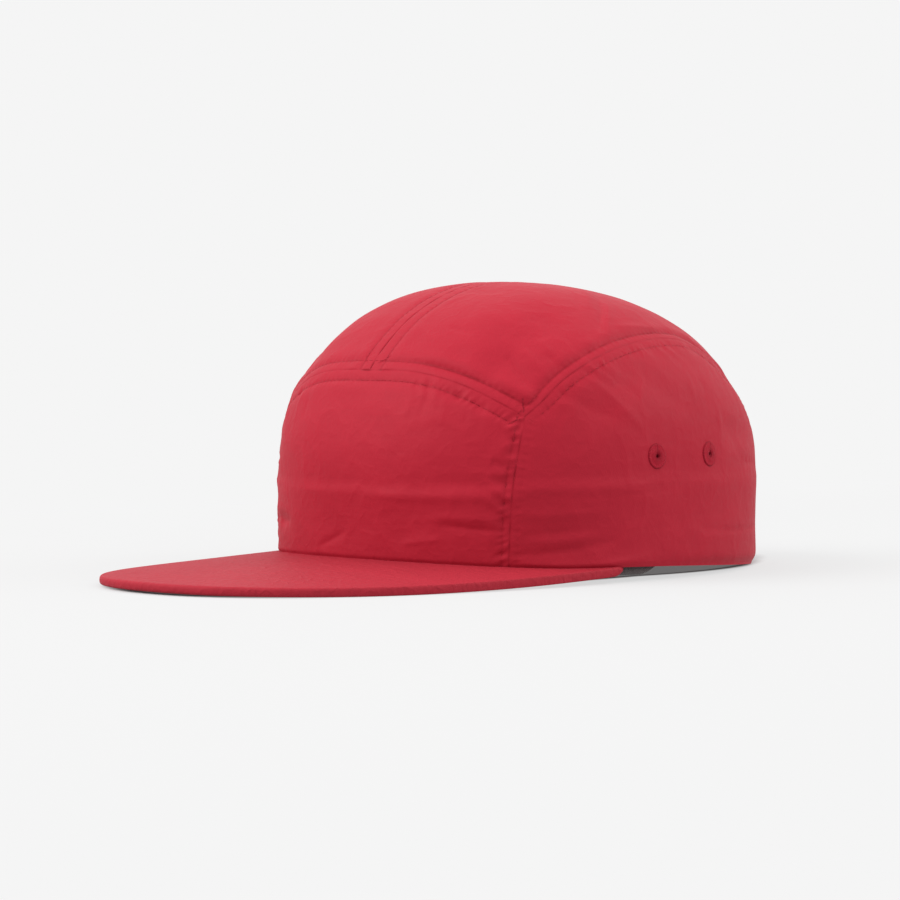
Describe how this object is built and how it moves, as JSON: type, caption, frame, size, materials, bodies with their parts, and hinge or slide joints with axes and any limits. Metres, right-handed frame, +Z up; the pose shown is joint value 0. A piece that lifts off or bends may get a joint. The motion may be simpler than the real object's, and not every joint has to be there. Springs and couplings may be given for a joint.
{
  "type": "five panel cap",
  "caption": "Soft cap with a flat peak, a wide front panel, seamed top panels, arched side panels with sewn eyelets, a sweatband and a strap across the back opening.",
  "frame": {"origin": "on the surface that the cap rests on, under the middle of the whole cap with its peak", "axes": "+Z up, the peak towards -Y and the back opening towards +Y, +X towards the wearer's left"},
  "size_m": [0.1632, 0.28, 0.1069],
  "materials": {
    "crown_cloth": "fine smooth woven cloth with a slight sheen",
    "eyelet_thread": "closely sewn thread",
    "peak_cloth": "fine smooth woven cloth over a stiff board",
    "sweatband_cloth": "soft matt cloth",
    "webbing": "flat woven webbing",
    "buckle": "moulded, slightly matt"
  },
  "bodies": {
    "root": {"front_panel": "crown_cloth", "top_panel_left": "crown_cloth", "top_panel_right": "crown_cloth", "side_panel_left": "crown_cloth", "side_panel_right": "crown_cloth", "eyelet_left_1": "eyelet_thread", "eyelet_left_2": "eyelet_thread", "eyelet_right_1": "eyelet_thread", "eyelet_right_2": "eyelet_thread", "peak": "peak_cloth", "sweatband": "sweatband_cloth", "strap_long": "webbing", "strap_short": "webbing", "slider_buckle": "buckle"}
  },
  "joints": []
}
